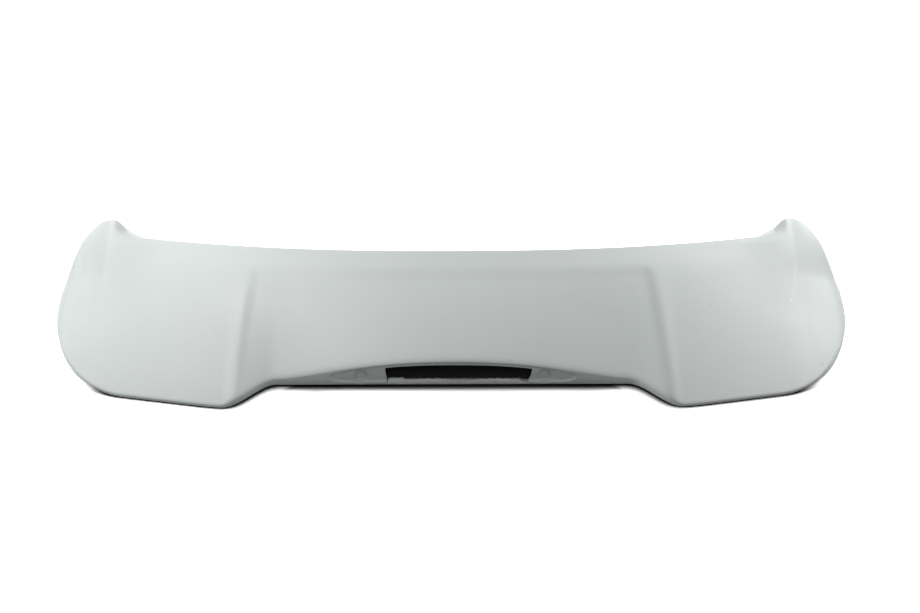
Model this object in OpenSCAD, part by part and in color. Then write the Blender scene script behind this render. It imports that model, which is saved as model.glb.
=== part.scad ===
// Rear roof spoiler for a hatchback: one hollow blow-moulded shell with a seat for the high stop lamp
// cut open in its rear face, and four threaded inserts moulded into the underside.
// X runs across the car, +Y towards the roof, +Z up. The shell lies as it rests on a table, on the foot
// of its rear face and on its two turned-down ends, with the origin under the middle of its box.

/* [Overall] */
// Width over both ends
body_w = 1240; // [1150:2:1500]
// Depth from the tails of the wings to the noses of the horns
body_d = 357; // [330:1:430]
// Height of the front edge at the middle
front_h = 88; // [78:1:106]
// Wall thickness of the shell
wall_t = 3; // [2:0.1:3.6]

/* [Front edge] */
// Distance from the noses of the horns back to the front edge at the middle
front_setback = 98.5; // [90:0.5:120]
// How far the front edge runs forward from the middle to the ends
front_sweep = 106; // [90:1:112]
// How far the front edge comes down from the middle to the ends
front_drop = 43; // [30:1:46]
// Thickness of the front lip
lip_t = 10; // [9:0.5:14]
// Depth of the flatter band behind the front edge
band_d = 48; // [38:1:60]
// How far the band comes down towards its crease
band_fall = 6; // [3:0.5:9]

/* [Rear edge] */
// Distance from the tails of the wings forward to the foot of the lamp face
tail_setback = 47.5; // [35:0.5:58]
// Half width of the straight foot of the lamp face
foot_half = 266; // [240:1:285]
// Half distance between the tails of the wings
tail_half = 344; // [330:1:370]
// Slant of the wings' rear edges, in degrees
tail_slant = 9.4; // [4:0.1:12]
// Thickness of the wings' rear edges
tail_t = 5; // [4:0.5:8]
// Height of the rear edge where it swings back from the lamp face to the tails
swing_h = 11; // [9:0.5:14]

/* [Centre panel] */
// How deep the centre panel lies below the wings
panel_dip = 3.5; // [2:0.5:7]
// Half width of the centre panel at the front
panel_front_half = 309; // [295:1:320]
// Half width of the centre panel at the rear
panel_rear_half = 331; // [322:1:345]
// Width of the soft step from the panel up to a wing
step_w = 16; // [8:1:24]
// How far the upper surface bulges between the band's crease and the rear edge
camber = 2.5; // [0:0.5:5]

/* [Lamp face] */
// Height of the lamp face at the middle
face_h = 43; // [38:1:52]
// Half width at which its arch would come down to the table
arch_half = 285; // [270:1:295]
// Lean of the lamp face, in degrees
face_lean = 10; // [4:0.5:16]
// Half length of the recessed lamp seat
seat_half = 188; // [175:1:200]
// Height of the seat's top edge at the middle, along the face
seat_top = 40.5; // [36:0.5:41]
// How far the seat's arched top edge comes down towards its tips
seat_arch = 15.5; // [13:0.5:18]
// Height of the seat's lower edge, along the face
seat_foot = 5.5; // [3:0.5:6.5]
// Height of the seat's two tips, along the face
seat_tip = 16; // [13:0.5:19]
// Depth of the seat
seat_depth = 2.4; // [1:0.1:3]
// Left end of the lamp opening
opening_left = -102; // [-112:1:-80]
// Right end of the lamp opening
opening_right = 122; // [80:1:123]
// Height of the opening's lower edge, along the face
opening_foot = 11.5; // [10:0.5:16]
// Width of the seat left above the opening
opening_inset = 6.4; // [4:0.2:12]
// Height of the ragged teeth left by the knife on the lower edge
tooth_h = 0.8; // [0:0.1:1.4]
// Half distance between the two ring marks
ring_half = 140.4; // [134:0.2:148]
// Height of the ring marks, along the face
ring_z = 17.4; // [17:0.2:18]
// Outer radius of a ring mark
ring_r = 10.6; // [8:0.2:11]
// Width of the ring groove
ring_w = 3.6; // [2:0.1:5]
// Depth of the ring groove
ring_depth = 1; // [0.4:0.1:1.4]

/* [Ends] */
// Length over which the rear corner of a wing rounds into its end
corner_w = 122; // [90:1:150]
// Distance of an end's widest point ahead of the middle
end_y = 38; // [20:1:50]
// Length of the straight stretch at an end's widest point
end_flat = 10; // [2:1:40]
// Width of a horn's rounded nose
nose_w = 68; // [60:1:76]
// Width of the facet that climbs from the front edge to a horn
facet_w = 60; // [45:1:80]
// How far a horn stands above the front edge
horn_lift = 14; // [6:0.5:18]
// Depth over which a horn's inner side runs out into the wing
horn_run = 58; // [40:1:70]
// Depth over which its outer side runs out
horn_run_out = 110; // [80:1:130]
// Width over which a wing rolls down to its end
roll_w = 118; // [95:1:130]
// Height of the end's rounded rim above the table
rim_z = 10; // [7:0.5:13]
// Width of the turned-down end's foot
ear_w = 64; // [54:1:74]

/* [Fixings] */
// Half distance between the inner inserts
inner_half = 170; // [120:1:200]
// Half distance between the outer inserts
outer_half = 430; // [390:1:460]
// Distance of the inserts behind the front edge
insert_setback = 62; // [55:1:75]
// Outer radius of an insert
insert_r = 5; // [4:0.25:6]
// Bore radius of an insert, for an M6 thread
thread_r = 2.5; // [2:0.05:3]
// Length of an insert
insert_len = 12; // [8:0.5:13]
// Radius of the moulded post round an insert
post_r = 11; // [9:0.5:14]
// How far a post stands below the underside
post_drop = 7; // [6:0.5:10]
// Radial clearance between an insert and its post
insert_gap = 0.05; // [0:0.01:0.2]

/* [Hidden] */

half_w = body_w / 2;
tail_y = -body_d / 2;
nose_y = body_d / 2;
foot_y = tail_y + tail_setback;
front_y = nose_y - front_setback;
lean = tan(face_lean);
nose_x = half_w - nose_w;
corner_x = half_w - corner_w;
ear_x = half_w - ear_w;
// Widest points reach this much past the last section, so that the end stays a small flat rim
rim_over = 1;
rim_flat = 1.2;
nose_cut = 9;
nose_roll = 4;
ear_wall_w = 18;
sweep_power = 2.2;
// Roundness of the outline's corners and of the rolled ends; the horns' noses are rolled more squarely
corner_power = 2.1;
nose_power_x = 2;
nose_power_y = 1.35;
roll_power = 2;
nose_roll_power = 4;
crease_r = 7;
lip_r = lip_t * 0.45;
ledge_r = 8;
foot_r = 1.5;
// Largest share of a thin edge's height that such a radius may take
edge_share = 0.45;
toe_share = 0.3;
// Half width of the close rows of points over the crease
crease_w = 10;
// The tails: softness of their kink in plan, and where the rear edge thins down to them
tail_kink = 15;
tail_lead = 22;
tail_run = 26;
arch_soft = 5;
// The panel: where its sides begin behind the front edge, how they bow, and how it sinks in
panel_start = 20;
panel_bow = 0.8;
dip_from = 0.7;
dip_run = 170;
// The horns: where the lift sets in across the wing, and where the run-out changes
horn_lead = 21;
horn_w = 26;
horn_turn_w = 40;
horn_turn_from = 0.1;
// The roll of the ends moves outwards over this stretch towards the noses
roll_lead = 27;
roll_run = 80;
// The wings are thicker in the middle of their depth than the centre panel
belly_t = 14;
belly_from = 60;
belly_run = 240;
// Blunt tips of the lamp seat, and their rounding above and below
tip_upper = 12;
tip_lower = 26;
tip_power = 2.2;
// The opening: slant of its right end, and where the knife left more of the strip standing at both ends
opening_slant = 3.5;
left_rest = 1.6;
left_rest_w = 22;
right_rest = 1.4;
right_rest_w = 32;
rest_run = 9;
// The hollow: room left at its thin edges, steps in which it is looked for, and what it keeps from the ends
room_min = 2;
room_step = 1.5;
side_look = 5;
side_keep = 4;
reach_x = 10;
end_keep = 12;

function ramp(t) = let (c = max(0, min(1, t))) c * c * (3 - 2 * c);
function soft(t, w) = t > 20 * w ? t : w * ln(1 + exp(t / w));
function mix(a, b, k) = a * (1 - k) + b * k;
// Quarter of a superellipse: 1 at t = 0, 0 at t = 1
function quarter(t, p, q) = let (c = max(0, min(1, t))) pow(1 - pow(c, p), 1 / (is_undef(q) ? p : q));
// Drop of a rounded edge of radius r at distance t inside it
function round_drop(t, r) = t >= r ? 0 : r - sqrt(max(0, r * r - (r - t) * (r - t)));

// Plan outline: front edge, rear edge and half width, each for one half
function front_line(s) = front_y + front_sweep * pow(min(s, nose_x) / half_w, sweep_power);
function front_at(s) = s > nose_x
    ? mix(end_y + end_flat, nose_y, quarter((s - nose_x) / (nose_w + rim_over), nose_power_x, nose_power_y))
    : mix(front_line(s), nose_y, ramp((s - nose_x + facet_w) / facet_w));
function tail_line(s) = let (d = max(0, s - tail_half))
    tail_y + tan(tail_slant) * (sqrt(d * d + tail_kink * tail_kink) - tail_kink);
function rear_at(s) = let (
        y = mix(foot_y, tail_line(s), ramp((s - foot_half) / (tail_half - foot_half))))
    end_y - (end_y - y) * quarter((s - corner_x) / (corner_w + rim_over), corner_power);
function half_at(y) = y < end_y
    ? corner_x + (corner_w + rim_over) * quarter((end_y - y) / (end_y - tail_line(corner_x)), corner_power)
    : let (start = end_y + end_flat)
        nose_x + (nose_w + rim_over) * quarter((y - start) / (nose_y - start), nose_power_y, nose_power_x);
// The rolled skin would reach this far, had the horn's blunt front not cut it short
function roll_half(y) = half_at(y < end_y ? y : max(end_y, y - nose_cut));

// Height of the rear face and the line of its top edge
function face_at(s) = let (low = mix(swing_h, tail_t, ramp((s - tail_half + tail_lead) / tail_run)),
        arch = face_h * (1 - pow(s / arch_half, 2)))
    low + soft(arch - low, arch_soft);
function ledge_at(s) = rear_at(s) + lean * face_at(s);

// 1 on the centre panel, 0 on a wing
function on_panel(s, y) = let (
        start = front_y - panel_start,
        u = max(0, min(1, (start - y) / (start - tail_y))))
    1 - ramp((s - mix(panel_front_half, panel_rear_half, pow(u, panel_bow))) / step_w + 0.5);

// Upper surface before its ends roll down
function crown(s, y) = let (
        edge_z = front_h - front_drop * pow(min(s, nose_x) / half_w, 2),
        line_y = min(front_line(s), front_at(s)),
        d = line_y - y,
        span = line_y - ledge_at(min(s, corner_x)),
        foot_z = face_at(s) + panel_dip * on_panel(s, ledge_at(s)),
        past = soft(d - band_d, crease_r),
        whole = soft(span - band_d, crease_r),
        slope = (edge_z - band_fall * span / band_d - foot_z) / whole,
        run = mix(horn_run, horn_run_out, ramp((s - nose_x) / horn_turn_w + horn_turn_from)),
        horn = ramp(1 - (front_at(s) - y) / run))
    edge_z - band_fall * d / band_d - slope * past + 4 * camber * past / whole * (1 - past / whole)
    - panel_dip * on_panel(s, y) * ramp((d - band_d * dip_from) / dip_run)
    + horn_lift * horn * ramp((s - nose_x + horn_lead) / horn_w + 0.5);
function rim_at(s, y) = min(rim_z, crown(s, y) / 2);
function top(s, y) = let (
        near_nose = ramp((y - end_y - roll_lead) / roll_run),
        from = mix(half_w - roll_w, nose_x + nose_roll, near_nose),
        power = mix(roll_power, nose_roll_power, near_nose),
        rim = rim_at(s, y) + rim_flat / 2)
    rim + (crown(s, y) - rim) * quarter((s - from) / max(1, roll_half(y) - from), power);

// Lower surface: parallel to the crown inboard, and down on the table under the turned-down ends
function thick(s, y) = let (u = max(0, min(1, (front_at(s) - y) / (front_at(s) - ledge_at(s)))))
    mix(lip_t, face_at(s), u) + belly_t * ramp((s - belly_from) / belly_run) * 4 * u * (1 - u);
function floor_at(s, y) = let (rim = rim_at(s, y) - rim_flat / 2)
    rim * (1 - quarter((s - half_at(y) + 2 * rim) / (2 * rim), 2));
function bottom(s, y) = mix(max(0, top(s, max(y, ledge_at(s))) - thick(s, y)), floor_at(s, y),
    ramp((s - ear_x) / ear_wall_w));

// Places of the sections across one half: so many from one line to the next
function spread(a, b, n) = [for (i = [0:n - 1]) mix(a, b, i / n)];
swing_end = tail_half + 8;
facet_x = nose_x - facet_w;
ear_in = ear_x + ear_wall_w;
station_list = concat(
    spread(0, foot_half, 9),
    spread(foot_half, swing_end, 12),
    spread(swing_end, facet_x, 5),
    spread(facet_x, ear_in, 8),
    [for (a = [0:10:90]) mix(ear_in, half_w, sin(a))]);
function mirrored(list) = concat([for (i = [len(list) - 1:-1:1]) -list[i]], list);
all_stations = mirrored(station_list);

// Points of one outer section at x, in a closed loop: over the top, down the rear face and back below
function outer_section(x) = let (
        s = abs(x),
        yf = front_at(s),
        yr = rear_at(s),
        yl = ledge_at(s),
        span = yf - yl,
        depth = yf - yr,
        tip_r = min(lip_r, edge_share * (top(s, yf) - bottom(s, yf))),
        back_t = top(s, yl) - bottom(s, yr),
        edge_r = min(ledge_r, edge_share * back_t),
        toe_r = min(foot_r, toe_share * back_t),
        crease = min(band_d, span / 2),
        over = concat(
            [for (a = [0:30:60]) tip_r * (1 - cos(a))],
            spread(tip_r, crease - crease_w, 3),
            spread(crease - crease_w, crease + crease_w, 2),
            [for (i = [0:8]) mix(crease + crease_w, span - edge_r, i / 8)],
            [for (a = [30:30:60]) span - edge_r * (1 - sin(a))]),
        ledge_z = top(s, yl) - edge_r,
        under = concat(
            [for (i = [0:8]) mix(depth - toe_r, tip_r, i / 8)],
            [for (a = [60:-30:0]) tip_r * (1 - cos(a))]))
    concat(
        [for (d = over) [x, yf - d, top(s, yf - d) - round_drop(d, tip_r) - round_drop(span - d, edge_r)]],
        [[x, yr + lean * ledge_z, ledge_z], [x, yr, bottom(s, yr) + toe_r]],
        [for (d = under) [x, yf - d, bottom(s, yf - d) + round_drop(d, tip_r)]]);

// Room left between the walls, and the points of one section of the hollow
skin_t = wall_t * 1.05;
function roof_in(s, y) = min(top(s, y), top(s + skin_t, y), top(s, y + skin_t), top(s, y - skin_t)) - skin_t;
function floor_in(s, y) = skin_t
    + max(bottom(s, y), bottom(max(0, s - skin_t), y), bottom(s, y + skin_t), bottom(s, y - skin_t));
hollow_end = half_w - end_keep;
function first_room(s, y, step) =
    roof_in(s, y) - floor_in(s, y) > room_min ? y : first_room(s, y + step, step);
// Its front and rear limits also hold for sections a little to either side
function front_in(s) = first_room(s,
    min(front_at(s) - lip_t, front_at(min(half_w, s + side_look)) - side_keep), -room_step);
function rear_in(s) = first_room(s, max(rear_at(s) + (wall_t + seat_depth) / cos(face_lean),
    rear_at(min(half_w, s + side_look)) + side_keep), room_step);
function hollow_section(x) = let (
        s = abs(x),
        beside = [for (d = [-reach_x, 0, reach_x]) min(hollow_end, abs(s + d))],
        yf = min([for (t = beside) front_in(t)]),
        yr = max([for (t = beside) rear_in(t)]),
        reach = max(0, roof_in(s, yr) - floor_in(s, yr)) * lean,
        ys = [for (i = [0:7]) mix(yf, yr + reach, i / 7)],
        yb = [for (i = [7:-1:0]) mix(yf, yr, i / 7)])
    concat([for (y = ys) [x, y, roof_in(s, y)]], [for (y = yb) [x, y, floor_in(s, y)]]);

// Skin through a list of closed sections with as many points each, capped at both ends
module loft(sections) {
    n = len(sections[0]);
    m = len(sections);
    points = [for (ring = sections) each ring];
    sides = [for (j = [0:m - 2], i = [0:n - 1]) let (k = (i + 1) % n)
        each [[j * n + i, (j + 1) * n + k, j * n + k], [j * n + i, (j + 1) * n + i, (j + 1) * n + k]]];
    polyhedron(points, concat(sides, [[for (i = [0:n - 1]) i]], [[for (i = [n - 1:-1:0]) (m - 1) * n + i]]));
}

hollow_list = concat(
    spread(0, foot_half, 6),
    spread(foot_half, swing_end, 7),
    spread(swing_end, facet_x, 5),
    spread(facet_x, ear_in + 3, 5),
    spread(ear_in + 3, hollow_end, 4),
    [hollow_end]);
hollow_stations = mirrored(hollow_list);

module skin() loft([for (x = all_stations) outer_section(x)]);
module hollow() loft([for (x = hollow_stations) hollow_section(x)]);

// Places a flat outline on the leaning lamp face: x across, y up along the face, going in by depth
module on_face(depth, proud = 1) {
    translate([0, foot_y, 0]) rotate([90 - face_lean, 0, 0]) translate([0, 0, -depth])
        linear_extrude(depth + proud) children();
}

// Outline of the lamp seat: an arch over a straight foot, rounded together at blunt tips
function seat_upper(x) = let (s = min(seat_half, abs(x)))
    mix(seat_tip, seat_top - seat_arch * pow(s / seat_half, 2),
        quarter((s - seat_half + tip_upper) / tip_upper, tip_power));
function seat_lower(x) = mix(seat_tip, seat_foot, quarter((abs(x) - seat_half + tip_lower) / tip_lower, 2));
module seat_outline() polygon(concat(
    [for (i = [-16:16]) let (x = seat_half * sin(i * 90 / 16)) [x, seat_upper(x)]],
    [for (i = [15:-1:-15]) let (x = seat_half * sin(i * 90 / 16)) [x, seat_lower(x)]]));

// Outline of the opening: it follows the seat above, its right end slants, and its lower edge is ragged
function ragged(x) = tooth_h * (0.7 * sin(x * 11 + 34) + 0.5 * sin(x * 27) + 0.4 * sin(x * 61 + 57));
function opening_lower(x) = opening_foot + ragged(x)
    + left_rest * ramp((opening_left + left_rest_w - x) / rest_run)
    + right_rest * ramp((x - opening_right + right_rest_w) / rest_run);
module opening_outline() polygon(concat(
    [for (i = [0:12]) let (x = mix(opening_left, opening_right, i / 12)) [x, seat_upper(x) - opening_inset]],
    [for (i = [48:-1:0]) let (x = mix(opening_left, opening_right - opening_slant, i / 48))
        [x, opening_lower(x)]]));

module ring_mark(side) translate([0, foot_y, 0]) rotate([90 - face_lean, 0, 0])
    translate([side * ring_half, ring_z, -seat_depth - ring_depth]) difference() {
        cylinder(r = ring_r, h = ring_depth + 1, $fn = 48);
        translate([0, 0, -1]) cylinder(r = ring_r - ring_w, h = ring_depth + 3, $fn = 48);
    }

// Places of the inserts: the foot of each post stands this low
function insert_y(s) = front_line(s) - insert_setback;
function insert_z(s) = bottom(s, insert_y(s)) - post_drop;
insert_sides = [-outer_half, -inner_half, inner_half, outer_half];
module post(x) translate([x, insert_y(abs(x)), insert_z(abs(x))])
    cylinder(r = post_r, h = insert_len + wall_t, $fn = 48);
module pocket(x) translate([x, insert_y(abs(x)), insert_z(abs(x)) - 1])
    cylinder(r = insert_r + insert_gap, h = insert_len + 1, $fn = 48);

module shell() color("gainsboro") difference() {
    union() {
        skin();
        for (x = insert_sides) post(x);
    }
    difference() {
        hollow();
        for (x = insert_sides) post(x);
    }
    on_face(seat_depth) seat_outline();
    on_face(seat_depth + 2 * wall_t + 2) opening_outline();
    for (side = [-1, 1]) ring_mark(side);
    for (x = insert_sides) pocket(x);
}

module insert(x) color("goldenrod") translate([x, insert_y(abs(x)), insert_z(abs(x))]) difference() {
    cylinder(r = insert_r, h = insert_len, $fn = 48);
    translate([0, 0, -1]) cylinder(r = thread_r, h = insert_len + 2, $fn = 48);
}

shell();
insert(-outer_half);  // insert_left_outer
insert(-inner_half);  // insert_left_inner
insert(inner_half);  // insert_right_inner
insert(outer_half);  // insert_right_outer
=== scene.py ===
import math
import bmesh
import bpy
from mathutils import Matrix, Vector


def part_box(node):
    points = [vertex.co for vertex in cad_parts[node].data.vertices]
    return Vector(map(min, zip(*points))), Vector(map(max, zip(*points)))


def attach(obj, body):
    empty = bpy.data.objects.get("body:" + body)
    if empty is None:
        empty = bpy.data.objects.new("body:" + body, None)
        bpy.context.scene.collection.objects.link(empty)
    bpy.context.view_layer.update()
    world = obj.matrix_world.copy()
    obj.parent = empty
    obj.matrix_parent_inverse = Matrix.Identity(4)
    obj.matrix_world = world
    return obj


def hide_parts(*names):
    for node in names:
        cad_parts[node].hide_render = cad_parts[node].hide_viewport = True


# A rear roof spoiler in grey primer, upright on a white table, seen from behind and above
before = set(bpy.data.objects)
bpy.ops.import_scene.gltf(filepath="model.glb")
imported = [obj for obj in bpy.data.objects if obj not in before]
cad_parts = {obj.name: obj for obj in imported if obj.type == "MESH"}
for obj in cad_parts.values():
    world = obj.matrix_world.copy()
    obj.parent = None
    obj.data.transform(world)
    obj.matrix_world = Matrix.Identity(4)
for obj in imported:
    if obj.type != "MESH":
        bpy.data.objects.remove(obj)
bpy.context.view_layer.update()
mm = 0.001
shellLow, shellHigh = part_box("shell")

# Sizes of the wing in millimetres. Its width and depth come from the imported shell
wing = {
    "halfWidth": shellHigh.x / mm,
    "halfDepth": (shellHigh.y - shellLow.y) / 2 / mm,
    "frontHeight": 88,
    "frontSetback": 98.5,
    "frontSweep": 106,
    "frontDrop": 43,
    "frontPower": 2.2,
    "lip": 10,
    "bandDepth": 48,
    "bandFall": 6,
    "tailSetback": 47.5,
    "footHalf": 266,
    "tailHalf": 344,
    "tailSlant": 9.4,
    "tailThickness": 5,
    "tailBend": 15,
    "tailThinStart": 322,
    "tailThinEnd": 348,
    "swingHeight": 11,
    "panelDip": 3.5,
    "panelFrontHalf": 309,
    "panelRearHalf": 331,
    "panelStart": 20,
    "panelCurve": 0.8,
    "stepFoot": 8,
    "stepWidth": 20,
    "stepValley": 2,
    "camber": 2.5,
    "dipFirst": 0.5,
    "dipFrom": 0.75,
    "dipEase": 28,
    "dipRun": 170,
    "faceHeight": 43,
    "archHalf": 285,
    "archBlend": 5,
    "faceLean": 10,
    "cornerWidth": 122,
    "cornerPower": 2.1,
    "endAhead": 38,
    "endFlat": 10,
    "noseWidth": 68,
    "nosePower": 2,
    "noseSharp": 1.35,
    "facetWidth": 60,
    "hornLift": 14,
    "hornStart": -10,
    "facetStart": 122,
    "facetEase": 38,
    "facetRun": 22,
    "rampRun": 90,
    "hornFull": 175,
    "ridge": 545,
    "rollWidth": 118,
    "rollPower": 2,
    "noseRollPower": 4,
    "noseRollStart": 4,
    "nearNoseFrom": 27,
    "nearNoseRun": 80,
    "rollBehind": 9,
    "rimHeight": 10,
    "footWidth": 64,
    "footEase": 18,
    "wall": 3,
    "ledgeReach": 11,
    "ledgeDrop": 2.4,
    "toeRadius": 1.5,
    "creaseRadius": 7,
    "creaseRadiusOut": 30,
    "creaseOutFrom": 450,
    "creaseOutRun": 100,
    "belly": 14,
    "bellyFrom": 60,
    "bellyRun": 240,
}

tailY = -wing["halfDepth"]
noseY = wing["halfDepth"]
footY = tailY + wing["tailSetback"]
frontY = noseY - wing["frontSetback"]
leanAngle = math.radians(wing["faceLean"])
lean = math.tan(leanAngle)
noseX = wing["halfWidth"] - wing["noseWidth"]
cornerX = wing["halfWidth"] - wing["cornerWidth"]
endFootX = wing["halfWidth"] - wing["footWidth"]
rimOver = 1
rimFlat = 1.2
lipRadius = wing["lip"] * 0.45


def ramp(t):
    c = min(max(t, 0), 1)
    return c * c * (3 - 2 * c)


def soft(t, width):
    return t if t > 20 * width else width * math.log1p(math.exp(t / width))


def mix(a, b, share):
    return a + (b - a) * share


# Quarter of a rounded square: 1 at t = 0 and 0 at t = 1
def quarter(t, power, other=None):
    c = min(max(t, 0), 1)
    return (1 - c ** power) ** (1 / (other or power))


# Plan outline of one half: s is the distance from the middle
def frontLine(s):
    share = min(s, noseX) / wing["halfWidth"]
    return frontY + wing["frontSweep"] * share ** wing["frontPower"]


def frontAt(s):
    if s > noseX:
        start = wing["endAhead"] + wing["endFlat"]
        across = (s - noseX) / (wing["noseWidth"] + rimOver)
        return start + (noseY - start) * quarter(across, wing["nosePower"], wing["noseSharp"])
    return mix(frontLine(s), noseY, ramp((s - noseX + wing["facetWidth"]) / wing["facetWidth"]))


def tailLine(s):
    past, bend = max(0, s - wing["tailHalf"]), wing["tailBend"]
    return tailY + math.tan(math.radians(wing["tailSlant"])) * (math.hypot(past, bend) - bend)


def rearAt(s):
    swing = ramp((s - wing["footHalf"]) / (wing["tailHalf"] - wing["footHalf"]))
    y = mix(footY, tailLine(s), swing)
    end = wing["endAhead"]
    across = (s - cornerX) / (wing["cornerWidth"] + rimOver)
    return end - (end - y) * quarter(across, wing["cornerPower"])


def halfAt(y):
    end = wing["endAhead"]
    if y < end:
        back = (end - y) / (end - tailLine(cornerX))
        return cornerX + (wing["cornerWidth"] + rimOver) * quarter(back, wing["cornerPower"])
    start = end + wing["endFlat"]
    ahead = (y - start) / (noseY - start)
    return noseX + (wing["noseWidth"] + rimOver) * quarter(ahead, wing["noseSharp"], wing["nosePower"])


def rollHalf(y):
    return halfAt(y if y < wing["endAhead"] else max(wing["endAhead"], y - wing["rollBehind"]))


# Height of the rear face, and the line of its top edge
def faceAt(s):
    thin = ramp((s - wing["tailThinStart"]) / (wing["tailThinEnd"] - wing["tailThinStart"]))
    low = mix(wing["swingHeight"], wing["tailThickness"], thin)
    arch = wing["faceHeight"] * (1 - (s / wing["archHalf"]) ** 2)
    return low + soft(arch - low, wing["archBlend"])


def ledgeAt(s):
    return rearAt(s) + lean * faceAt(s)


# Half width of the centre panel, up to the foot of the step beside it
def panelEdge(y):
    start = frontY - wing["panelStart"]
    u = min(max((start - y) / (start - tailY), 0), 1)
    return mix(wing["panelFrontHalf"], wing["panelRearHalf"], u ** wing["panelCurve"]) - wing["stepFoot"]


# 1 on the centre panel, 0 on a wing: a close valley beside the panel, and a long soft rise to the wing
def onPanel(s, y):
    along = min(soft(s - panelEdge(y), wing["stepValley"]) / wing["stepWidth"], 1)
    return (1 - along) ** 2


# 1 at 0, falling away on both sides over about the width
def bell(t, width):
    return math.exp(-(t / width) ** 2)


# Painted shade in the valley beside the panel; the right one is painted darker
def paintedShading(x, y):
    s = abs(x)
    behind = ramp((frontLine(s) - y - wing["bandDepth"] * wing["dipFrom"]) / wing["dipEase"])
    return (1 if x > 0 else 0.2) * behind * bell(s - panelEdge(y) - 5, 9)


# Upper surface before its ends roll down
def crown(s, y):
    edgeZ = wing["frontHeight"] - wing["frontDrop"] * (min(s, noseX) / wing["halfWidth"]) ** 2
    lineY = min(frontLine(s), frontAt(s))
    d = lineY - y
    band = wing["bandDepth"]
    span = lineY - ledgeAt(min(s, cornerX))
    footZ = faceAt(s) + wing["panelDip"] * onPanel(s, ledgeAt(s))
    outboard = ramp((s - wing["creaseOutFrom"]) / wing["creaseOutRun"])
    crease = mix(wing["creaseRadius"], wing["creaseRadiusOut"], outboard)
    past, whole = soft(d - band, crease), soft(span - band, crease)
    slope = (edgeZ - wing["bandFall"] * span / band - footZ) / whole
    dip = wing["dipFirst"] * ramp((d - band * wing["dipFrom"]) / wing["dipEase"])
    dip += (1 - wing["dipFirst"]) * min(max((d - band) / wing["dipRun"], 0), 1)
    # The horn rises long and soft outboard; its inboard side steepens into a facet towards the nose
    horn = ramp((y - wing["hornStart"]) / (wing["hornFull"] - wing["hornStart"]))
    inboard = mix(wing["rampRun"], wing["facetRun"], ramp((y - wing["facetStart"]) / wing["facetEase"]))
    horn *= ramp((s - wing["ridge"]) / inboard + 1)
    return (edgeZ - wing["bandFall"] * d / band - slope * past
            + 4 * wing["camber"] * past / whole * (1 - past / whole)
            - wing["panelDip"] * onPanel(s, y) * dip + wing["hornLift"] * horn)


def rimAt(s, y):
    return min(wing["rimHeight"], crown(s, y) / 2)


def top(s, y):
    nearNose = ramp((y - wing["endAhead"] - wing["nearNoseFrom"]) / wing["nearNoseRun"])
    start = mix(wing["halfWidth"] - wing["rollWidth"], noseX + wing["noseRollStart"], nearNose)
    power = mix(wing["rollPower"], wing["noseRollPower"], nearNose)
    rim = rimAt(s, y) + rimFlat / 2
    return rim + (crown(s, y) - rim) * quarter((s - start) / max(1, rollHalf(y) - start), power)


def thickAt(s, y):
    u = min(max((frontAt(s) - y) / (frontAt(s) - ledgeAt(s)), 0), 1)
    belly = wing["belly"] * ramp((s - wing["bellyFrom"]) / wing["bellyRun"])
    return mix(wing["lip"], faceAt(s), u) + belly * 4 * u * (1 - u)


def floorAt(s, y):
    rim = rimAt(s, y) - rimFlat / 2
    return rim * (1 - quarter((s - halfAt(y) + 2 * rim) / (2 * rim), 2))


def bottom(s, y):
    inboard = max(0, top(s, max(y, ledgeAt(s))) - thickAt(s, y))
    return mix(inboard, floorAt(s, y), ramp((s - endFootX) / wing["footEase"]))


# Lamp seat, ring marks and the hand-cut opening, in millimetres across and up along the leaning face
lamp = {
    "seatHalf": 188,
    "seatTop": 40.4,
    "seatArch": 22,
    "seatArchPower": 2.5,
    "seatTip": 14.5,
    "tipAbove": 8,
    "tipBelow": 26,
    "seatFoot": 5.5,
    "seatDepth": 2.8,
    "seatWallAbove": 4,
    "seatWallBelow": 1.6,
    "ringHalf": 138.5,
    "ringHeight": 14.2,
    "ringRadius": 11,
    "ringWall": 4,
    "ringDepth": 2.2,
    "pipRadius": 2,
    "pipHeight": 0.7,
    "openingLeft": -102,
    "openingRight": 120,
    "openingInset": 6.4,
    "openingFoot": 7.0,
    "cutBefore": 2,
    "cutDepth": 8.2,
    "stripFoot": 2.5,
    "stripTilt": 1.0,
    "stripEnd": 9,
    "stripEase": 6,
    "slitLeft": 2.8,
    "slitRight": 4.2,
    "slitFoot": 1.8,
}


def seatUpper(x):
    s = min(abs(x), lamp["seatHalf"])
    arch = lamp["seatTop"] - lamp["seatArch"] * (s / lamp["seatHalf"]) ** lamp["seatArchPower"]
    return mix(lamp["seatTip"], arch, quarter((s - lamp["seatHalf"]) / lamp["tipAbove"] + 1, 2))


def seatLower(x):
    s = min(abs(x), lamp["seatHalf"])
    return mix(lamp["seatTip"], lamp["seatFoot"], quarter((s - lamp["seatHalf"]) / lamp["tipBelow"] + 1, 2))


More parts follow.
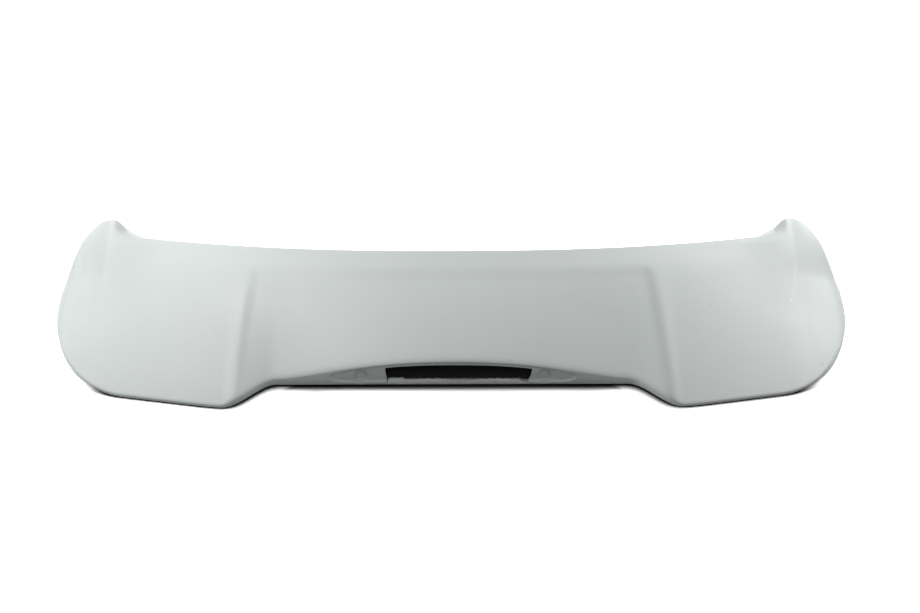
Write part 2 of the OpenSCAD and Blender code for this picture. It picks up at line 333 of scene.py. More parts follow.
# How deep the face is pressed in at x and v
def pressed(x, v):
    seat = 0
    if abs(x) < lamp["seatHalf"] + 1:
        above = (seatUpper(x) - v) / lamp["seatWallAbove"]
        below = (v - seatLower(x)) / lamp["seatWallBelow"] + 0.5
        inside = min(above, below, (lamp["seatHalf"] + 1 - abs(x)) / 2)
        seat = lamp["seatDepth"] * min(max(inside, 0), 1)
    distance = math.hypot(abs(x) - lamp["ringHalf"], v - lamp["ringHeight"])
    ring = lamp["ringDepth"] * (1 - ramp((distance - lamp["ringRadius"]) / lamp["ringWall"] + 1))
    pip = lamp["pipHeight"] * (1 - ramp(distance / lamp["pipRadius"]))
    inStrip = ramp(x - lamp["openingLeft"] - lamp["slitRight"])
    inStrip *= ramp((lamp["openingRight"] - x) / lamp["stripEnd"])
    upStrip = min(max((v - lamp["stripFoot"]) / (lamp["openingFoot"] - lamp["stripFoot"]), 0), 1)
    fade = 1 - ramp((v - lamp["openingFoot"]) / lamp["stripEase"] - 1)
    return seat + ring - pip + lamp["stripTilt"] * inStrip * upStrip * fade


# Sizes of the painted shade and highlight on the rear face, in millimetres: dark lines in the corners, light
# ones on the lower edges
paintedCornerSizes = {
    "strength": 2.6,
    "ringDark": 2.5,
    "seatDark": 2.4,
    "seatShare": 0.8,
    "ringLight": 1.6,
    "ringLightOut": 1.2,
    "seatLight": 1.8,
}


# Painted shade round the rings and under the seat's upper edge; below 0 it is a painted highlight on the
# lower edges
def paintedCornerShading(x, v):
    rise = v - lamp["ringHeight"]
    distance = math.hypot(abs(x) - lamp["ringHalf"], rise)
    upward = rise / max(distance, 1)
    past = distance - lamp["ringRadius"]
    inside = lamp["seatHalf"] - abs(x)
    ring = bell(past + lamp["ringWall"] / 2, paintedCornerSizes["ringDark"]) * (0.6 + 0.4 * upward)
    edge = bell(seatUpper(x) - lamp["seatWallAbove"] / 2 - v, paintedCornerSizes["seatDark"]) * ramp(inside / 6)
    low = bell(past - paintedCornerSizes["ringLightOut"], paintedCornerSizes["ringLight"]) * max(-upward, 0)
    rim = bell(seatLower(x) + lamp["seatWallBelow"] / 2 - v, paintedCornerSizes["seatLight"]) * ramp(inside / 3)
    return paintedCornerSizes["strength"] * (max(ring, paintedCornerSizes["seatShare"] * edge) - max(low, rim))


# Columns of the skin across, closest together over the lamp seat and at the rounded ends
def skinColumns():
    seat, foot, tail = lamp["seatHalf"], wing["footHalf"], wing["tailHalf"] + 12
    facet, end = noseX - wing["facetWidth"], endFootX + wing["footEase"]
    stretches = ((0, seat, 150), (seat, foot, 24), (foot, tail, 32), (tail, facet, 18), (facet, end, 34))
    half = [mix(a, b, i / count) for a, b, count in stretches for i in range(count)]
    half += [mix(end, wing["halfWidth"], math.sin(math.radians(i * 90 / 22))) for i in range(23)]
    return [-x for x in reversed(half[1:])] + half


# Where the quadratic curve from a to c, bent towards b, is at t
def bend(a, b, c, t):
    return tuple(mix(mix(p, q, t), mix(q, r, t), t) for p, q, r in zip(a, b, c))


# Heights of the rear face's rows: over the lamp seat they close up along its two walls
def faceRows(s, faceTop, foot):
    even = [mix(faceTop, foot, i / 50) for i in range(50)]
    upper = min(seatUpper(s) * math.cos(leanAngle), faceTop - 0.1)
    lower = seatLower(s) * math.cos(leanAngle)
    half = lamp["seatWallBelow"] / 2
    stops = (faceTop, upper, upper - lamp["seatWallAbove"], lower + half, lower - half, foot)
    stretches = zip(stops, stops[1:], (4, 6, 32, 4, 4))
    close = [mix(a, b, i / count) for a, b, count in stretches for i in range(count)]
    follow = ramp((lamp["seatHalf"] - s) / 10)
    return [mix(a, b, follow) for a, b in zip(even, close)]


# The closed section at x: over the top, down the rear face and back underneath
def skinSection(x):
    s = abs(x)
    front, rear, ledge = frontAt(s), rearAt(s), ledgeAt(s)
    lip = min(lipRadius, 0.45 * (top(s, front) - bottom(s, front)))
    backHeight = top(s, ledge) - bottom(s, rear)
    reach = min(wing["ledgeReach"], 0.9 * backHeight)
    toe = min(wing["toeRadius"], 0.3 * backHeight)
    faceTop = top(s, ledge) - min(wing["ledgeDrop"], 0.3 * backHeight)
    ledgeStart = ledge + reach
    crease = min(wing["bandDepth"], (front - ledge) / 2)
    points = []
    for i in range(7):
        turn = math.radians(i * 90 / 7)
        y = front - lip * (1 - math.cos(turn))
        points.append((y, top(s, y) - lip * (1 - math.sin(turn))))
    ahead, behind = front - crease + 16, front - crease - 16
    for a, b, count in ((front - lip, ahead, 14), (ahead, behind, 12), (behind, ledgeStart, 26)):
        points += [(y, top(s, y)) for y in (mix(a, b, i / count) for i in range(count))]
    ledgeTurn = (ledgeStart, top(s, ledgeStart)), (ledge, top(s, ledge)), (rear + lean * faceTop, faceTop)
    points += [bend(*ledgeTurn, i / 12) for i in range(12)]
    foot = bottom(s, rear)
    points += [(rear + lean * z, z) for z in faceRows(s, faceTop, foot + toe)]
    corner = [(rear + lean * (foot + toe), foot + toe), (rear + lean * foot, foot),
              (rear + toe, bottom(s, rear + toe))]
    points += [bend(*corner, i / 5) for i in range(5)]
    points += [(y, bottom(s, y)) for y in (mix(rear + toe, front - lip, i / 16) for i in range(16))]
    for i in range(7):
        turn = math.radians(90 - i * 90 / 6)
        y = front - lip * (1 - math.cos(turn))
        points.append((y, bottom(s, y) + lip * (1 - math.sin(turn))))
    return points + points[:1]


# Presses the lamp seat, its ring marks and the bent strip into the points of the leaning face
def pressFace(x, y, z):
    v = z / math.cos(leanAngle)
    already = (y - footY - lean * z) * math.cos(leanAngle)
    depth = pressed(x, v)
    if abs(x) > wing["footHalf"] - 20 or already > 6 or depth <= already:
        return y, z
    return y + (depth - already) * math.cos(leanAngle), z - (depth - already) * math.sin(leanAngle)


# The painted shade and highlight at a point of the skin
def paintedShadingAt(x, y, z):
    if abs(x) < lamp["seatHalf"] and abs(y - footY - lean * z) < 6:
        return paintedCornerShading(x, z / math.cos(leanAngle))
    return paintedShading(x, y) if top(abs(x), y) - z < 3 else 0


# A flat grid with a column for each section, and the column and row of one of its points
def newGrid(columns, rows):
    mesh = bmesh.new()
    bmesh.ops.create_grid(mesh, x_segments=columns - 1, y_segments=rows - 1, size=0.5)
    return mesh


def gridPlace(vert, columns, rows):
    return round((vert.co.x + 0.5) * (columns - 1)), round((vert.co.y + 0.5) * (rows - 1))


# Welds the grid where its points meet and closes its ends
def closeGrid(mesh):
    bmesh.ops.remove_doubles(mesh, verts=mesh.verts, dist=0.02 * mm)
    openEdges = [edge for edge in mesh.edges if edge.is_boundary]
    bmesh.ops.holes_fill(mesh, edges=openEdges, sides=0)
    bmesh.ops.recalc_face_normals(mesh, faces=mesh.faces)


def makeSkin():
    columns = skinColumns()
    sections = [skinSection(x) for x in columns]
    mesh = newGrid(len(columns), len(sections[0]))
    # Each point keeps its painted shade and highlight for the primer
    thin = mesh.verts.layers.float.new("paintedShading")
    for vert in mesh.verts:
        column, row = gridPlace(vert, len(columns), len(sections[0]))
        x = columns[column]
        y, z = pressFace(x, *sections[column][row])
        vert.co = Vector((x, y, z)) * mm
        vert[thin] = paintedShadingAt(x, y, z)
    closeGrid(mesh)
    print("skin:", len(mesh.faces), "faces,", sum(edge.is_boundary for edge in mesh.edges), "open edges")
    return mesh


# The room inside: roof, rear wall and floor, a wall's thickness from the skin
def roomSection(x):
    s = abs(x)
    skin = wing["wall"] * 1.05

    def roofAt(y):
        return min(top(s, y), top(s + skin, y), top(s, y + skin), top(s, y - skin)) - skin

    def floorIn(y):
        return skin + max(bottom(s, y), bottom(max(0, s - skin), y), bottom(s, y + skin), bottom(s, y - skin))

    back = (wing["wall"] + lamp["seatDepth"] + lamp["stripTilt"]) / math.cos(leanAngle)
    beside = [abs(s + shift) for shift in (-10, -5, 0, 5, 10)]
    front = min(frontAt(s) - wing["lip"], *(frontAt(min(wing["halfWidth"], t)) - 4 for t in beside))
    rear = max(rearAt(s) + back, *(rearAt(min(wing["halfWidth"], t)) + 4 for t in beside))
    while roofAt(front) - floorIn(front) < 3:
        front -= 2
    while roofAt(rear) - floorIn(rear) < 3:
        rear += 2
    reach = max(0, roofAt(rear) - floorIn(rear)) * lean
    roof = [(y, roofAt(y)) for y in (mix(front, rear + reach, i / 15) for i in range(16))]
    floor = [(y, floorIn(y)) for y in (mix(rear, front, i / 15) for i in range(16))]
    return roof + floor + roof[:1]


def makeRoom():
    end = wing["halfWidth"] - 12
    half = [mix(0, wing["footHalf"], i / 24) for i in range(24)]
    half += [mix(wing["footHalf"], end, i / 40) for i in range(41)]
    columns = [-x for x in reversed(half[1:])] + half
    sections = [roomSection(x) for x in columns]
    mesh = newGrid(len(columns), len(sections[0]))
    for vert in mesh.verts:
        column, row = gridPlace(vert, len(columns), len(sections[0]))
        vert.co = Vector((columns[column], *sections[column][row])) * mm
    closeGrid(mesh)
    bmesh.ops.reverse_faces(mesh, faces=mesh.faces)
    return mesh


def toObject(mesh, name):
    data = bpy.data.meshes.new(name)
    mesh.to_mesh(data)
    mesh.free()
    obj = bpy.data.objects.new(name, data)
    bpy.context.scene.collection.objects.link(obj)
    return obj


# From across and up along the leaning face, and a depth into it, to the place in the part
def onFace(x, v, depth):
    y = footY + v * math.sin(leanAngle) + depth * math.cos(leanAngle)
    return Vector((x, y, v * math.cos(leanAngle) - depth * math.sin(leanAngle))) * mm


# The knife's wavering line along the lower edge of the opening: torn flakes at the left, lower at the right
def cutLine(x):
    waver = 0.75 * math.cos((x + 34) / 16.7) + 0.3 * math.sin(x * 0.47) + 0.2 * math.sin(x * 1.13 + 1)
    torn = ramp((-68 - x) / 9)
    flakes = 2.6 + 0.8 * abs(math.sin(x * 0.83)) + 0.35 * math.sin(x * 2.9)
    return lamp["openingFoot"] + waver + torn * flakes - 2.2 * ramp((x - 100) / 9)


# The moulded posts round the inserts, and the inserts themselves; both turned about an upright axis
post = {
    "radius": 11,
    "height": 15,
    "footEdge": 0.8,
    "flare": 2.2,
    "drop": 7,
}
insert = {
    "radius": 5,
    "length": 12,
    "bore": 2.5,
    "threadDepth": 0.42,
    "pitch": 1,
    "knurlDepth": 0.22,
    "clearance": 0.05,
}
insertNames = ("insert_left_outer", "insert_left_inner", "insert_right_inner", "insert_right_outer")


# Where an insert's foot stands, in millimetres
def insertPlace(name):
    low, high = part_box(name)
    return (low.x + high.x) / 2 / mm, (low.y + high.y) / 2 / mm, low.z / mm


# Turns a closed or open outline of (radius, height) pairs round an upright axis; bend moves single points
def turned(mesh, place, outline, columns, bend=None):
    rows = len(outline)
    made = bmesh.ops.create_grid(mesh, x_segments=columns, y_segments=rows - 1, size=0.5)["verts"]
    for vert in made:
        column = round((vert.co.x + 0.5) * columns)
        row = round((vert.co.y + 0.5) * (rows - 1))
        radius, height = outline[row]
        if bend:
            radius += bend(column % columns / columns, row, height)
        angle = math.tau * (column % columns) / columns
        vert.co = Vector((place[0] + radius * math.cos(angle), place[1] + radius * math.sin(angle),
                          place[2] + height)) * mm
    bmesh.ops.remove_doubles(mesh, verts=made, dist=0.002 * mm)


def makePosts():
    mesh = bmesh.new()
    edge = post["footEdge"]
    foot = []
    for degrees in range(0, 91, 18):
        turn = math.radians(degrees)
        foot.append((post["radius"] - edge + edge * math.sin(turn), edge - edge * math.cos(turn)))
    flare = [(post["radius"] + post["flare"] * (i / 8) ** 2, post["drop"] - 4 + i) for i in range(9)]
    neck = [(post["radius"], post["drop"] + 4.5), (post["radius"], post["height"]), (0, post["height"])]
    outline = [(0, 0)] + foot + flare + neck
    for name in insertNames:
        turned(mesh, insertPlace(name), outline, 72)
    bmesh.ops.recalc_face_normals(mesh, faces=mesh.faces)
    return toObject(mesh, "posts")


# Rows of the insert's outline: down the threaded bore, over the foot, up the knurled outside
def makeInsert(name):
    bore, radius, length = insert["bore"], insert["radius"], insert["length"]
    threads = [(bore, length - 0.6 - i * 0.225) for i in range(49)]
    foot = [(bore + 0.55, 0), (radius - 0.35, 0), (radius, 0.35), (radius, 1.5), (radius - 0.4, 1.9)]
    knurl = [(radius - 0.4, 2.5), (radius - 0.05, 2.9), (radius, 3), (radius, 9), (radius - 0.05, 9.1)]
    head = [(radius - 0.4, 9.5), (radius - 0.4, length - 0.3), (radius - 0.7, length), (bore + 0.55, length)]
    outline = threads + foot + knurl + head + threads[:1]

    def threadAndKnurl(share, row, height):
        if row < len(threads) or row == len(outline) - 1:
            rise = (height / insert["pitch"] - share) % 1
            return insert["threadDepth"] * abs(2 * rise - 1)
        knurled = outline[row][0] == radius and 2.9 < height < 9.1
        return -insert["knurlDepth"] * (round(share * 48) % 2) if knurled else 0

    mesh = bmesh.new()
    turned(mesh, insertPlace(name), outline, 48, threadAndKnurl)
    bmesh.ops.recalc_face_normals(mesh, faces=mesh.faces)
    return toObject(mesh, "visual_" + name.title().replace("_", ""))


def makeOpeningCutter():
    left, right = lamp["openingLeft"], lamp["openingRight"]
    steps = 240
    slitLeft, slitRight, slitFoot = left + lamp["slitLeft"], left + lamp["slitRight"], lamp["slitFoot"]
    columns = [mix(left, right, i / 40) for i in range(41)]
    outline = [(x, seatUpper(x) - lamp["openingInset"]) for x in columns]
    outline += [(right - 0.2, 23), (right - 1.6, 14), (right - 4, 8.2)]
    outline += [(x, cutLine(x)) for x in (mix(right - 5, left + 5.5, i / steps) for i in range(steps + 1))]
    outline += [(slitRight, 8.5), (slitRight - 0.2, slitFoot), (slitLeft + 0.2, slitFoot - 0.1)]
    outline += [(slitLeft, 9), (left + 1, 17), (left + 0.2, 26)]
    mesh = bmesh.new()
    face = mesh.faces.new([mesh.verts.new(onFace(x, v, -lamp["cutBefore"])) for x, v in outline])
    grown = bmesh.ops.extrude_face_region(mesh, geom=[face])["geom"]
    inward = onFace(0, 0, lamp["cutDepth"]) - onFace(0, 0, -lamp["cutBefore"])
    ends = [part for part in grown if isinstance(part, bmesh.types.BMVert)]
    bmesh.ops.translate(mesh, vec=inward, verts=ends)
    # The cutter's inner end leaves the room's black, its sides the colour of the shell
    for part in grown:
        if isinstance(part, bmesh.types.BMFace):
            part.material_index = 1
    pocket, length = insert["radius"] + insert["clearance"], insert["length"]
    for name in insertNames:
        turned(mesh, insertPlace(name), [(0, -1), (pocket, -1), (pocket, length), (0, length)], 48)
    bmesh.ops.recalc_face_normals(mesh, faces=mesh.faces)
    return toObject(mesh, "openingCutter")


def cut(obj, cutter, operation="DIFFERENCE"):
    modifier = obj.modifiers.new(operation.lower(), "BOOLEAN")
    modifier.operation = operation
    modifier.object = cutter
    modifier.solver = "EXACT"
    bpy.context.view_layer.objects.active = obj
    bpy.ops.object.modifier_apply(modifier=modifier.name)
    bpy.data.objects.remove(cutter)


# Paint and plastic: what a user would change
finish = {
    "primer": (0.59, 0.625, 0.61),
    "primerGreen": (0.575, 0.62, 0.595),
    "primerRoughness": 0.42,
    "grain": 0.06,
    "orangePeel": 0.10,
    # Colour towards which the surfaces that face downward darken
    "downFacingDark": (0.33, 0.345, 0.34),
    # Colour of the dust specks, and of the painted shade in the valleys and corners
    "speckAndShadeColor": (0.36, 0.38, 0.37),
    "runColor": (0.78, 0.80, 0.79),
    "valleyShade": 0.34,
    # Colour of the whitened strip, of the painted highlights and of the painted reflection along the foot
    "rawEdgeAndHighlight": (0.80, 0.82, 0.81),
    "inside": (0.006, 0.006, 0.0065),
    "insideDust": (0.014, 0.014, 0.0145),
    "insideGloss": 0.15,
    "brass": (0.72, 0.58, 0.30),
    "tarnish": (0.42, 0.30, 0.15),
}

# Dust under the paint: place across and ahead, radius and strength, in millimetres
specks = [(-595, 92, 2.2, 0.5), (-396, 84, 1.9, 0.6), (-364, -54, 2.2, 0.35), (-289, 1, 1.6, 0.2),
          (-480, -126, 1.7, 0.2), (401, -8, 2.8, 0.45), (386, -80, 2.2, 0.3), (516, -72, 2.2, 0.3),
          (564, -101, 2.6, 0.6), (560, 48, 2.1, 0.25), (598, 24, 2.3, 0.25)]

# A thin paint run on the right wing: its two ends and the drop that it ends in
paintRun = {
    "start": (552, 91),
    "end": (538, 22),
    "drop": (533, 17),
    "width": 5,
    "dropRadius": 3.4,
}


def newMaterial(name):
    material = bpy.data.materials.new(name)
    material.use_nodes = True
    shader = material.node_tree.nodes["Principled BSDF"]
    return material, material.node_tree, shader


# Short ways to place nodes: a noise, a soft span between two values, a sum or a product, and a mix of colours
def addNoise(tree, vector, scale, detail=2):
    noise = tree.nodes.new("ShaderNodeTexNoise")
    noise.inputs["Scale"].default_value = scale
    noise.inputs["Detail"].default_value = detail
    tree.links.new(vector, noise.inputs["Vector"])
    return noise.outputs["Fac"]


def addSpan(tree, value, low, high, toLow=0, toHigh=1):
    span = tree.nodes.new("ShaderNodeMapRange")
    span.interpolation_type = "SMOOTHSTEP"
    span.inputs["From Min"].default_value = low
    span.inputs["From Max"].default_value = high
    span.inputs["To Min"].default_value = toLow
    span.inputs["To Max"].default_value = toHigh
    tree.links.new(value, span.inputs["Value"])
    return span.outputs["Result"]


def addMath(tree, operation, first, second):
    node = tree.nodes.new("ShaderNodeMath")
    node.operation = operation
    for socket, value in zip(node.inputs, (first, second)):
        if isinstance(value, (int, float)):
            socket.default_value = value
        else:
            tree.links.new(value, socket)
    return node.outputs["Value"]


def addMix(tree, factor, first, second):
    node = tree.nodes.new("ShaderNodeMixRGB")
    for socket, value in zip(node.inputs, (factor, first, second)):
        if isinstance(value, tuple):
            socket.default_value = (*value[:3], 1)
        elif isinstance(value, (int, float)):
            socket.default_value = value
        else:
            tree.links.new(value, socket)
    return node.outputs["Color"]


# How near a point of the surface is to a place in plan: the strength there, fading to 0 at the radius
def addSpot(tree, plan, x, y, radius, strength=1):
    away = tree.nodes.new("ShaderNodeVectorMath")
    away.operation = "DISTANCE"
    away.inputs[1].default_value = (x * mm, y * mm, 0)
    tree.links.new(plan, away.inputs[0])
    return addSpan(tree, away.outputs["Value"], radius * 0.15 * mm, radius * mm, strength, 0)


# Where the knife bared and whitened the strip under the opening, and a painted reflection of the table
# lightening the foot's lower edge
def addCutEdgeAndToeReflection(tree, split, vector):
    x, y, z = split.outputs["X"], split.outputs["Y"], split.outputs["Z"]
    rear = addSpan(tree, y, (footY + 17) * mm, (footY + 12) * mm)
    left, right = lamp["openingLeft"] + lamp["slitRight"], lamp["openingRight"]
    across = addMath(tree, "MULTIPLY", addSpan(tree, x, left * mm, (left + 1) * mm),
                     addSpan(tree, x, (right - 2) * mm, (right - 7) * mm))
    torn = addNoise(tree, vector, 420, 3)
    edge = addSpan(tree, z, (lamp["openingFoot"] - 3) * mm, (lamp["openingFoot"] - 1) * mm)
    edge = addMath(tree, "MULTIPLY", edge, addSpan(tree, torn, 0.3, 0.7, 0.45, 0.85))
    strip = addMath(tree, "ADD", addSpan(tree, z, 12 * mm, 10.5 * mm, 0, 0.14), edge)
    strip = addMath(tree, "MULTIPLY", strip, addSpan(tree, z, 13 * mm, 11.5 * mm))
    strip = addMath(tree, "MULTIPLY", strip, across)
    # Painted reflection of the white table on the foot's lower edge
    toe = addSpan(tree, z, 2.6 * mm, 1.2 * mm)
    toe = addMath(tree, "MULTIPLY", toe, addSpan(tree, across, 0, 1, 0.22, 0.6))
    return addMath(tree, "MULTIPLY", addMath(tree, "MAXIMUM", strip, toe), rear)


def makePrimer():
    material, tree, shader = newMaterial("primedShell")
    nodes, links = tree.nodes, tree.links
    vector = addPlace(tree)
    plan = nodes.new("ShaderNodeVectorMath")
    plan.operation = "MULTIPLY"
    plan.inputs[1].default_value = (1, 1, 0)
    links.new(vector, plan.inputs[0])
    split = nodes.new("ShaderNodeSeparateXYZ")
    links.new(vector, split.inputs["Vector"])
    geometry = nodes.new("ShaderNodeNewGeometry")
    facing = nodes.new("ShaderNodeSeparateXYZ")
    links.new(geometry.outputs["Normal"], facing.inputs["Vector"])

    # Slow drift of the tint, and a fine grain of the sprayed coat
    color = addMix(tree, addNoise(tree, vector, 5), finish["primer"], finish["primerGreen"])
    grain = addNoise(tree, vector, 900, 3)
    fine = addMix(tree, addSpan(tree, grain, 0.35, 0.65), (0.49, 0.49, 0.49), (0.51, 0.51, 0.51))
    overlay = nodes.new("ShaderNodeMixRGB")
    overlay.blend_type = "OVERLAY"
    overlay.inputs["Fac"].default_value = 1
    links.new(color, overlay.inputs["Color1"])
    links.new(fine, overlay.inputs["Color2"])
    color = overlay.outputs["Color"]
    # Darker in patches on the surfaces that face downward
    thin = addSpan(tree, facing.outputs["Z"], -0.2, -0.9)
    thin = addMath(tree, "MULTIPLY", thin, addSpan(tree, addNoise(tree, vector, 18, 4), 0.35, 0.75))
    color = addMix(tree, addMath(tree, "MULTIPLY", thin, 0.45), color, finish["downFacingDark"])
    # Painted shade in the valleys and the inner corners, and painted highlight on the lower edges
    shadingAttribute = nodes.new("ShaderNodeAttribute")
    shadingAttribute.attribute_name = "paintedShading"
    shade = addMath(tree, "MULTIPLY", shadingAttribute.outputs["Fac"], finish["valleyShade"])
    color = addMix(tree, shade, color, finish["speckAndShadeColor"])
    # Below 0 the attribute lightens: a painted highlight
    paintedHighlight = addMath(tree, "MULTIPLY", shadingAttribute.outputs["Fac"], -finish["valleyShade"])
    color = addMix(tree, paintedHighlight, color, finish["rawEdgeAndHighlight"])
    # Specks, only on the upper side
    upper = addSpan(tree, facing.outputs["Z"], 0.2, 0.5)
    dirt = 0
    for x, y, radius, strength in specks:
        dirt = addMath(tree, "ADD", dirt, addSpot(tree, plan.outputs["Vector"], x, y, radius, strength))
    color = addMix(tree, addMath(tree, "MULTIPLY", dirt, upper), color, finish["speckAndShadeColor"])
    # The paint run: a wavering line across the places between its ends, thickening into a drop
    (startX, startY), (endX, endY) = paintRun["start"], paintRun["end"]
    slope = (startX - endX) / (startY - endY)
    line = addMath(tree, "MULTIPLY", split.outputs["Y"], slope)
    line = addMath(tree, "ADD", line, (startX - slope * startY) * mm)
    waver = addMath(tree, "MULTIPLY", addNoise(tree, vector, 60), 2.2 * mm)
    wavering = addMath(tree, "ADD", split.outputs["X"], waver)
    off = addMath(tree, "ABSOLUTE", addMath(tree, "SUBTRACT", wavering, line), 0)
    run = addSpan(tree, off, 0.2 * mm, paintRun["width"] * mm, 1, 0)
    for share in (addSpan(tree, split.outputs["Y"], (endY - 3) * mm, endY * mm),
                  addSpan(tree, split.outputs["Y"], (startY - 6) * mm, startY * mm, 1, 0),
                  addSpan(tree, addNoise(tree, vector, 90), 0.35, 0.6, 0.05, 0.3)):
        run = addMath(tree, "MULTIPLY", run, share)
    drop = addSpot(tree, plan.outputs["Vector"], *paintRun["drop"], paintRun["dropRadius"], 0.7)
    run = addMath(tree, "MAXIMUM", run, drop)
    run = addMath(tree, "MULTIPLY", run, upper)
    color = addMix(tree, run, color, finish["runColor"])
    # The whitened strip under the opening, and the painted reflection along the foot
    color = addMix(tree, addCutEdgeAndToeReflection(tree, split, vector), color, finish["rawEdgeAndHighlight"])
    links.new(color, shader.inputs["Base Color"])

    # Sheen varies a little where the coat was rubbed down; orange peel and grain stand in the bump
    rough = addSpan(tree, addNoise(tree, vector, 14, 4), 0.3, 0.7, finish["primerRoughness"] - 0.04,
                    finish["primerRoughness"] + 0.06)
    links.new(rough, shader.inputs["Roughness"])
    peel = addNoise(tree, vector, 160, 2)
    height = addMath(tree, "ADD", addMath(tree, "MULTIPLY", peel, finish["orangePeel"]),
                     addMath(tree, "MULTIPLY", grain, finish["grain"]))
    height = addMath(tree, "ADD", height, addMath(tree, "MULTIPLY", run, 0.5))
    height = addMath(tree, "ADD", height, addMath(tree, "MULTIPLY", dirt, 0.8))
    addBump(tree, height, 0.1, shader)
    return material


# Object coordinates, centred on a place given in millimetres
def addPlace(tree, center=(0, 0, 0)):
    place = tree.nodes.new("ShaderNodeTexCoord")
    mapping = tree.nodes.new("ShaderNodeMapping")
    mapping.inputs["Location"].default_value = [-value * mm for value in center]
    tree.links.new(place.outputs["Object"], mapping.inputs["Vector"])
    return mapping.outputs["Vector"]


def addBump(tree, height, distance, shader):
    bump = tree.nodes.new("ShaderNodeBump")
    bump.inputs["Distance"].default_value = distance * mm
    bump.inputs["Strength"].default_value = 1
    tree.links.new(height, bump.inputs["Height"])
    tree.links.new(bump.outputs["Normal"], shader.inputs["Normal"])


# Bare black plastic of the room inside, with a little dust
def makeInside():
    material, tree, shader = newMaterial("bareInside")
    vector = addPlace(tree)
    dust = addSpan(tree, addNoise(tree, vector, 30, 4), 0.4, 0.7)
    tree.links.new(addMix(tree, dust, finish["inside"], finish["insideDust"]), shader.inputs["Base Color"])
    tree.links.new(addSpan(tree, dust, 0, 1, 0.55, 0.8), shader.inputs["Roughness"])
    shader.inputs["Specular IOR Level"].default_value = finish["insideGloss"]
    addBump(tree, addNoise(tree, vector, 500, 3), 0.08, shader)
    return material


# Turned brass, centred on its own insert, with tool rings and a tarnished bloom
def makeBrass(name):
    material, tree, shader = newMaterial("brass_" + name)
    vector = addPlace(tree, insertPlace(name))
    bloom = addSpan(tree, addNoise(tree, vector, 260, 4), 0.42, 0.68)
    tree.links.new(addMix(tree, bloom, finish["brass"], finish["tarnish"]), shader.inputs["Base Color"])
    shader.inputs["Metallic"].default_value = 1
    tree.links.new(addSpan(tree, bloom, 0, 1, 0.26, 0.48), shader.inputs["Roughness"])
    rings = tree.nodes.new("ShaderNodeTexWave")
    rings.wave_type = "RINGS"
    rings.rings_direction = "Z"
    rings.inputs["Scale"].default_value = 1300
    rings.inputs["Distortion"].default_value = 0.6
    tree.links.new(vector, rings.inputs["Vector"])
    addBump(tree, rings.outputs["Fac"], 0.02, shader)
    return material


skin = makeSkin()
room = makeRoom()
roomData = bpy.data.meshes.new("room")
room.to_mesh(roomData)
room.free()
firstFaces = len(skin.faces)
skin.from_mesh(roomData)
shell = toObject(skin, "spoilerShell")
for material in (makePrimer(), makeInside()):
    shell.data.materials.append(material)
for index, polygon in enumerate(shell.data.polygons):
    polygon.material_index = 0 if index < firstFaces else 1
print("shell joined with its room")
cut(shell, makePosts(), "UNION")
print("posts joined:", len(shell.data.polygons), "faces")
cut(shell, makeOpeningCutter())
print("opening cut:", len(shell.data.polygons), "faces")


def sharpenEdges(obj, angle):
    mesh = bmesh.new()
    mesh.from_mesh(obj.data)
    for face in mesh.faces:
        face.smooth = True
    for edge in mesh.edges:
        edge.smooth = edge.calc_face_angle(0) < math.radians(angle)
    mesh.to_mesh(obj.data)
    mesh.free()


sharpAngle = 32
sharpenEdges(shell, sharpAngle)

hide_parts("shell")
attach(shell, "root")

for name in insertNames:
    piece = makeInsert(name)
    piece.data.materials.append(makeBrass(name))
    sharpenEdges(piece, sharpAngle)
    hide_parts(name)
    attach(piece, "root")

# The table: white to the camera wherever light reaches it, with real shadows, a painted shade from ambient
# occlusion close along the wing and a painted shadow along the straight foot
stage = {
    "floorSize": 14,
    "floorColor": 0.4,
    "floorToCamera": 2.2,
    "shadeReach": 25,
    "shadeSamples": 16,
    "shadeOpen": 0.99,
    "footShade": 15.5,
    "footDark": 0.2,
    "footFade": 40,
    "footBeyond": 30,
    "shadePower": 3.5,
    "shadeFrom": 520,
    "shadeTo": 575,
    "world": 0.01,
    "lampAim": (0, 0, 0.05),
}


# 1 for rays from the camera, and for those that mirrors and glass would send on
def addSeen(tree):
    path = tree.nodes.new("ShaderNodeLightPath")
    seen = addMath(tree, "ADD", path.outputs["Is Camera Ray"], path.outputs["Is Glossy Ray"])
    seen = addMath(tree, "ADD", seen, path.outputs["Is Transmission Ray"])
    return addMath(tree, "MINIMUM", seen, 1)


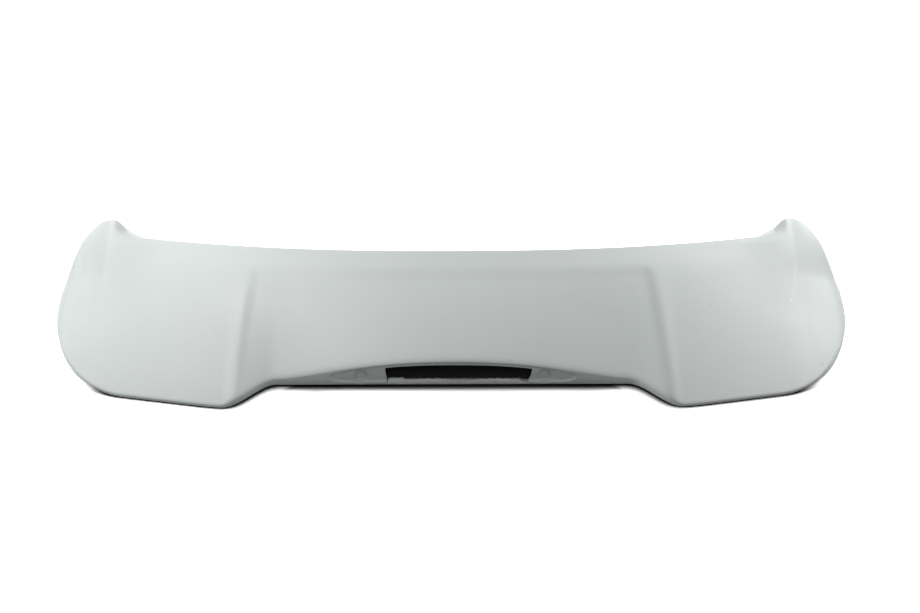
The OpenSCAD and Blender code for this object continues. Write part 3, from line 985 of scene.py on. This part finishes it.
def makeFloor():
    mesh = bmesh.new()
    bmesh.ops.create_grid(mesh, x_segments=1, y_segments=1, size=stage["floorSize"] / 2)
    floor = toObject(mesh, "tableTop")
    material, tree, shader = newMaterial("tableWhite")
    nodes, links = tree.nodes, tree.links
    # Painted shade from ambient occlusion, lying close along the foot over about a finger's breadth
    near = nodes.new("ShaderNodeAmbientOcclusion")
    near.samples = stage["shadeSamples"]
    near.inputs["Distance"].default_value = stage["shadeReach"] * mm
    clear = addSpan(tree, near.outputs["AO"], 0.5, stage["shadeOpen"])
    split = nodes.new("ShaderNodeSeparateXYZ")
    links.new(addPlace(tree), split.inputs["Vector"])
    aside = addMath(tree, "ABSOLUTE", split.outputs["X"], 0)
    # Along the straight foot, where the opening would lose it, a painted shadow follows the foot's line
    behind = addMath(tree, "SUBTRACT", footY * mm, split.outputs["Y"])
    straight = addSpan(tree, behind, 0, stage["footShade"] * mm, stage["footDark"], 1)
    beside = addSpan(tree, aside, (wing["footHalf"] - stage["footFade"]) * mm, wing["footHalf"] * mm)
    beyond = addMath(tree, "LESS_THAN", behind, -stage["footBeyond"] * mm)
    straight = addMath(tree, "MAXIMUM", straight, addMath(tree, "MAXIMUM", beside, beyond))
    clear = addMath(tree, "MINIMUM", clear, straight)
    aside = addSpan(tree, aside, stage["shadeFrom"] * mm, stage["shadeTo"] * mm)
    lit = addMath(tree, "MAXIMUM", addMath(tree, "POWER", clear, stage["shadePower"]), aside)
    white = addMath(tree, "MULTIPLY", lit, stage["floorToCamera"])
    shade = addMix(tree, addSeen(tree), (stage["floorColor"],) * 3, white)
    diffuse = nodes.new("ShaderNodeBsdfDiffuse")
    links.new(shade, diffuse.inputs["Color"])
    links.new(diffuse.outputs["BSDF"], nodes["Material Output"].inputs["Surface"])
    nodes.remove(shader)
    floor.data.materials.append(material)


def makeWorld():
    world = bpy.data.worlds.new("studio")
    bpy.context.scene.world = world
    world.use_nodes = True
    nodes, links = world.node_tree.nodes, world.node_tree.links
    light = nodes["Background"]
    light.inputs["Strength"].default_value = stage["world"]
    white = nodes.new("ShaderNodeBackground")
    choose = nodes.new("ShaderNodeMixShader")
    light.inputs["Color"].default_value = (1, 1, 1, 1)
    white.inputs["Color"].default_value = (1, 1, 1, 1)
    links.new(addSeen(world.node_tree), choose.inputs["Fac"])
    links.new(light.outputs["Background"], choose.inputs[1])
    links.new(white.outputs["Background"], choose.inputs[2])
    links.new(choose.outputs["Shader"], nodes["World Output"].inputs["Surface"])


# Soft boxes: place and size in metres, and power in watts
softBoxes = {
    "leftMid": ((-1.4, 0.1, 0.9), (0.8, 0.8), 10.9),
    "backRight": ((1.1, 1.1, 1.0), (0.8, 0.8), 14.0),
    "backLeft": ((-1.1, 1.1, 1.0), (0.8, 0.8), 7.2),
    "frontHigh": ((0, -1.3, 1.5), (1.6, 0.8), 4.4),
    "innerLeft": ((-0.5, 0.2, 0.8), (0.4, 0.4), 2.3),
    "nearRight": ((0.85, 0.05, 0.5), (0.5, 0.5), 2.0),
}


def makeSoftBoxes():
    for name, (place, size, power) in softBoxes.items():
        light = bpy.data.lights.new(name, "AREA")
        light.shape = "RECTANGLE"
        light.size, light.size_y = size
        light.energy = power
        box = bpy.data.objects.new(name, light)
        box.location = place
        box.rotation_euler = (Vector(stage["lampAim"]) - Vector(place)).to_track_quat("-Z", "Y").to_euler()
        bpy.context.scene.collection.objects.link(box)


# The camera as fitted to the photograph, in a frame of 920 by 613 pixels
view = {
    "aim": (0, 0.003, 0.038),
    "elevation": 43,
    "azimuth": -0.7,
    "distance": 2.55,
    "roll": 0.33,
    "lens": 64,
    "sensor": 36,
    "aimColumn": 452,
    "aimRow": 306,
    "frameWidth": 920,
    "frameHeight": 613,
}


def makeCamera():
    camera = bpy.data.cameras.new("camera")
    camera.lens = view["lens"]
    camera.sensor_width = view["sensor"]
    camera.sensor_fit = "HORIZONTAL"
    camera.shift_x = (view["frameWidth"] / 2 - view["aimColumn"]) / view["frameWidth"]
    camera.shift_y = (view["aimRow"] - view["frameHeight"] / 2) / view["frameWidth"]
    obj = bpy.data.objects.new("camera", camera)
    azimuth, elevation = math.radians(view["azimuth"]), math.radians(view["elevation"])
    level = math.cos(elevation)
    back = Vector((math.sin(azimuth) * level, -math.cos(azimuth) * level, math.sin(elevation)))
    turn = back.to_track_quat("Z", "Y").to_matrix().to_4x4()
    roll = Matrix.Rotation(math.radians(view["roll"]), 4, "Z")
    obj.matrix_world = Matrix.Translation(Vector(view["aim"]) + back * view["distance"]) @ turn @ roll
    bpy.context.scene.collection.objects.link(obj)
    bpy.context.scene.camera = obj


makeFloor()
makeWorld()
makeSoftBoxes()
makeCamera()
bpy.context.scene.view_settings.view_transform = "Standard"
print("stage, lights and camera placed")
